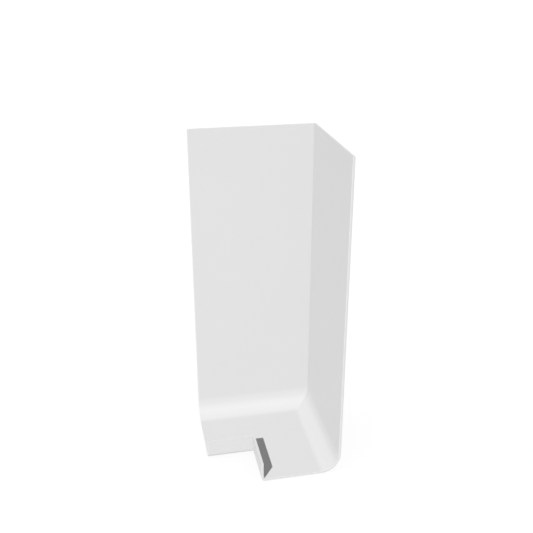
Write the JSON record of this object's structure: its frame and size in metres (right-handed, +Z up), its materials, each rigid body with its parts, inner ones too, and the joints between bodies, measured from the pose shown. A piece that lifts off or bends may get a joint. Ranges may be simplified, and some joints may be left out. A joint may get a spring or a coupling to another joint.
{
  "type": "fascia corner",
  "caption": "External right-angle fascia corner trim with tall thin walls, a bullnose, a flat return and an upturned lip.",
  "frame": {"origin": "on the underside of the return, below the middle of the box that holds the corner", "axes": "+Z up along the walls. The arms run along -X and -Y from the outer corner, so +X and +Y point out through the two walls, and the open side faces -X and -Y"},
  "size_m": [0.118, 0.118, 0.3],
  "materials": {
    "white_pvcu": "smooth white PVC-U with a low sheen, as moulded"
  },
  "bodies": {
    "root": {"fascia_corner": "white_pvcu"}
  },
  "joints": []
}
